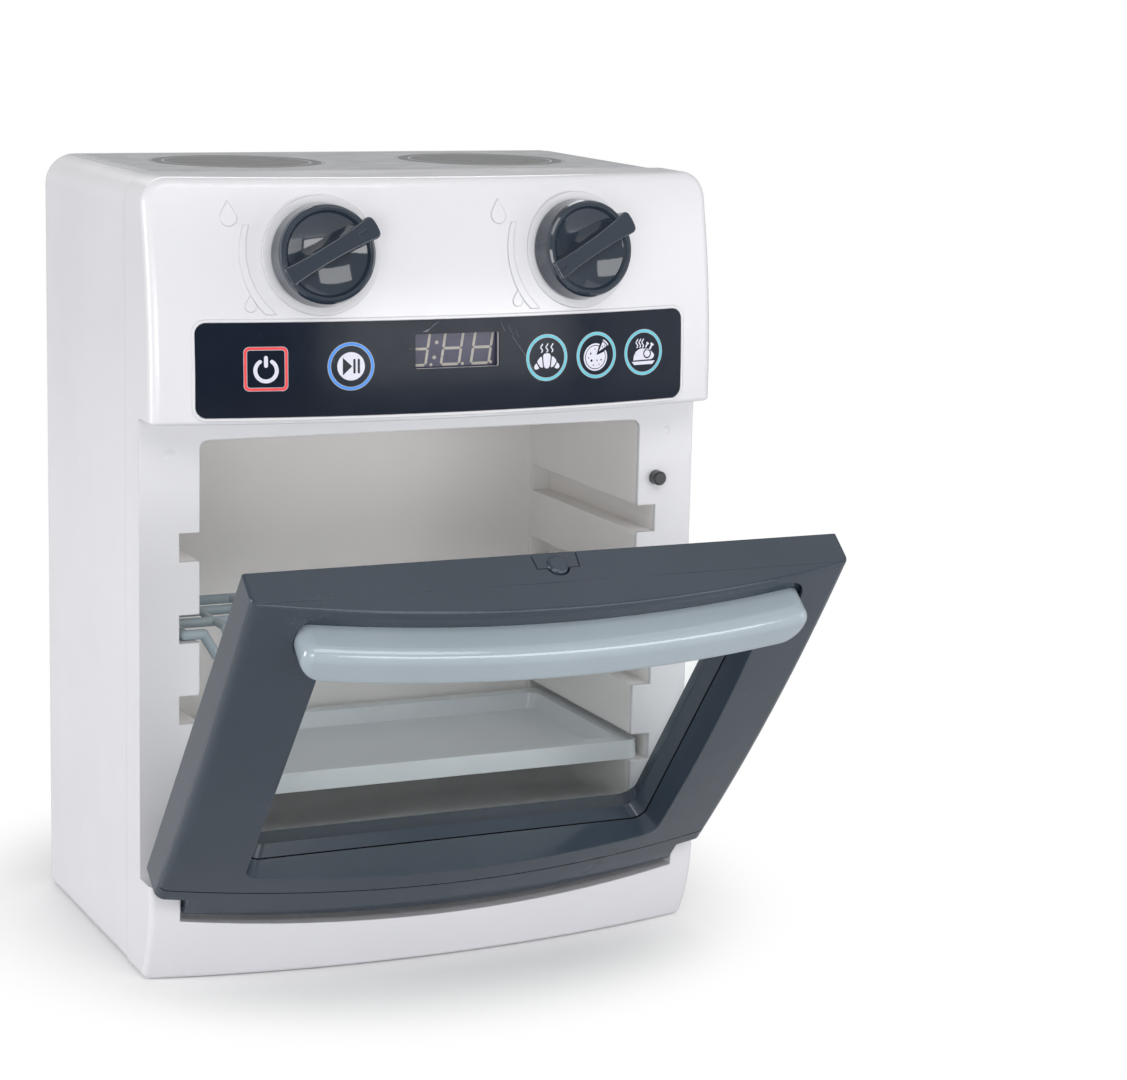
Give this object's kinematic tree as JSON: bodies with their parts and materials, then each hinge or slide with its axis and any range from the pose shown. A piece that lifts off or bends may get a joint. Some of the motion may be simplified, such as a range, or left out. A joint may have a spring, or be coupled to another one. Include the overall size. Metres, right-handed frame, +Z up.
{
  "type": "toy oven",
  "caption": "Toy oven with a pull-down windowed door, two turning knobs, a flat control panel, a wire-style rack and a sunk baking tray on side runners.",
  "frame": {"origin": "on the floor under the middle of the closed body's base", "axes": "+Z up, the front with the door and knobs looks along -Y, +X to the right as seen from the front"},
  "size_m": [0.27, 0.3158, 0.358],
  "materials": {
    "shell_white": "gloss",
    "liner_white": "satin",
    "hob_silver": "gloss",
    "panel_black": "gloss",
    "display_grey": "gloss",
    "knob_slate": "gloss",
    "door_slate": "gloss",
    "handle_grey": "gloss",
    "pane_clear": "gloss",
    "rack_grey": "satin",
    "tray_grey": "gloss",
    "catch_grey": "gloss",
    "plunger_grey": "satin",
    "board_green": "satin",
    "part_black": "matte",
    "screw_steel": "satin"
  },
  "bodies": {
    "cabinet": {"front_shell": "shell_white", "rear_housing": "shell_white", "cavity_liner": "liner_white", "hob_plate": "hob_silver", "control_overlay": "panel_black", "display_module": "display_grey", "main_board": "board_green", "speaker": "part_black", "battery_bay": "part_black", "battery_cover": "shell_white", "battery_cover_screw": "screw_steel", "door_switch": "part_black", "board_screw_1": "screw_steel", "board_screw_2": "screw_steel", "board_screw_3": "screw_steel", "board_screw_4": "screw_steel", "battery_contact_1": "screw_steel", "battery_contact_2": "screw_steel", "battery_contact_3": "screw_steel", "housing_screw_1": "screw_steel", "housing_screw_2": "screw_steel", "housing_screw_3": "screw_steel", "housing_screw_4": "screw_steel", "housing_screw_5": "screw_steel", "housing_screw_6": "screw_steel"},
    "door": {"door_front_frame": "door_slate", "door_rear_frame": "door_slate", "door_pane": "pane_clear", "door_handle": "handle_grey", "left_handle_screw": "screw_steel", "right_handle_screw": "screw_steel", "door_screw_1": "screw_steel", "door_screw_2": "screw_steel", "door_screw_3": "screw_steel", "door_screw_4": "screw_steel", "door_screw_5": "screw_steel", "door_screw_6": "screw_steel"},
    "catch": {"catch_button": "catch_grey"},
    "left_dial": {"left_knob": "knob_slate", "left_knob_screw": "screw_steel", "left_knob_washer": "screw_steel"},
    "right_dial": {"right_knob": "knob_slate", "right_knob_screw": "screw_steel", "right_knob_washer": "screw_steel"},
    "switch_pin": {"switch_plunger": "plunger_grey"},
    "rack": {"rack": "rack_grey"},
    "tray": {"tray": "tray_grey"}
  },
  "joints": [
    {"name": "door_swing", "type": "hinge", "parent": "cabinet", "child": "door", "pos_m": [0, -0.0815, 0.038], "axis": [1, 0, 0], "range_deg": [-38.8, 0]},
    {"name": "catch_press", "type": "slide", "parent": "door", "child": "catch", "axis": [0, 0.6266, -0.7793], "range_m": [0, 0.0012], "stiffness_N_per_m": 900},
    {"name": "left_knob_turn", "type": "hinge", "parent": "cabinet", "child": "left_dial", "pos_m": [-0.06106, -0.09389, 0.32551], "axis": [-0.0861, -0.9839, 0.1564], "continuous": true},
    {"name": "right_knob_turn", "type": "hinge", "parent": "cabinet", "child": "right_dial", "pos_m": [0.06106, -0.09389, 0.32551], "axis": [0.0861, -0.9839, 0.1564], "continuous": true},
    {"name": "switch_push", "type": "slide", "parent": "cabinet", "child": "switch_pin", "axis": [0, 1, 0], "range_m": [0, 0.005]},
    {"name": "rack_slide", "type": "slide", "parent": "cabinet", "child": "rack", "axis": [0, -1, 0], "range_m": [0, 0.055]},
    {"name": "tray_slide", "type": "slide", "parent": "cabinet", "child": "tray", "axis": [0, -1, 0], "range_m": [0, 0.03]}
  ],
  "couplings": [
    {"joint": "switch_push", "follows": "door_swing", "m_per_rad": -0.007383}
  ]
}
